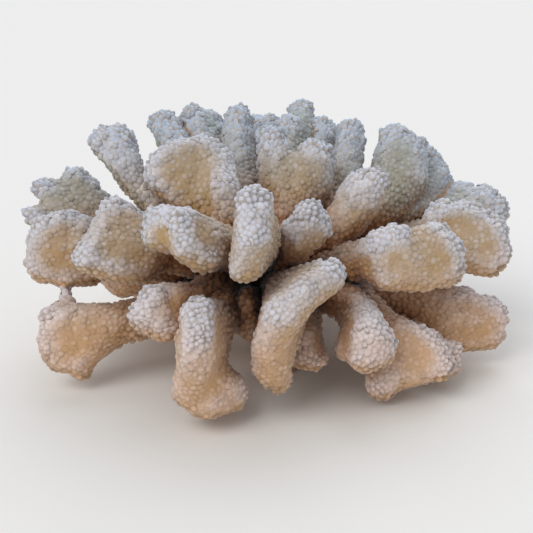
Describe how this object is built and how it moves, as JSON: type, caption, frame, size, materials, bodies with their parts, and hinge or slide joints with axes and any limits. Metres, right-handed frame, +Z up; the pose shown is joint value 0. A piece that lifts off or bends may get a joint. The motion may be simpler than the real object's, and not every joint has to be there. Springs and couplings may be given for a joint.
{
  "type": "coral skeleton",
  "caption": "Dried cauliflower coral: knobbly flattened branches radiate from a short trunk that is cut off flat to rest on.",
  "frame": {"origin": "middle of the flat cut under the trunk, on the surface it rests on", "axes": "+Z up, +X towards the right end of the widest spread, -Y towards the front"},
  "size_m": [0.2509, 0.1973, 0.1217],
  "materials": {
    "coral": "matte, knobbly, slightly translucent aragonite, paler and bluish at the margins",
    "trunk": "matte, brown in the deep recesses"
  },
  "bodies": {
    "root": {"back_centre_ridge": "coral", "back_centre_tip": "coral", "back_left_fork": "coral", "back_left_tip": "coral", "back_right_fork": "coral", "back_right_ridge": "coral", "back_right_tip": "coral", "crown_centre_fork": "coral", "crown_left_paddle": "coral", "crown_right_back_tip": "coral", "crown_right_diagonal": "coral", "crown_right_paddle": "coral", "front_centre_ridge": "coral", "front_diagonal_blade": "coral", "front_hanging_lobe": "coral", "front_left_low_paddle": "coral", "front_left_low_ridge": "coral", "front_left_paddle": "coral", "front_right_blade": "coral", "front_right_knob": "coral", "front_right_low_paddle": "coral", "front_shadow_lobe": "coral", "front_small_fork": "coral", "left_back_cluster": "coral", "left_back_low_lobe": "coral", "left_low_arm": "coral", "left_middle_paddle": "coral", "left_outer_paddle": "coral", "left_upright_paddle": "coral", "rear_centre_left_paddle": "coral", "rear_centre_right_paddle": "coral", "rear_left_paddle": "coral", "rear_low_centre_lobe": "coral", "rear_low_left_arm": "coral", "rear_low_left_lobe": "coral", "rear_low_right_arm": "coral", "rear_low_right_lobe": "coral", "rear_right_fan": "coral", "rear_right_paddle": "coral", "right_back_pair": "coral", "right_low_blade": "coral", "right_middle_fan": "coral", "right_small_lobe": "coral", "trunk": "trunk"}
  },
  "joints": []
}
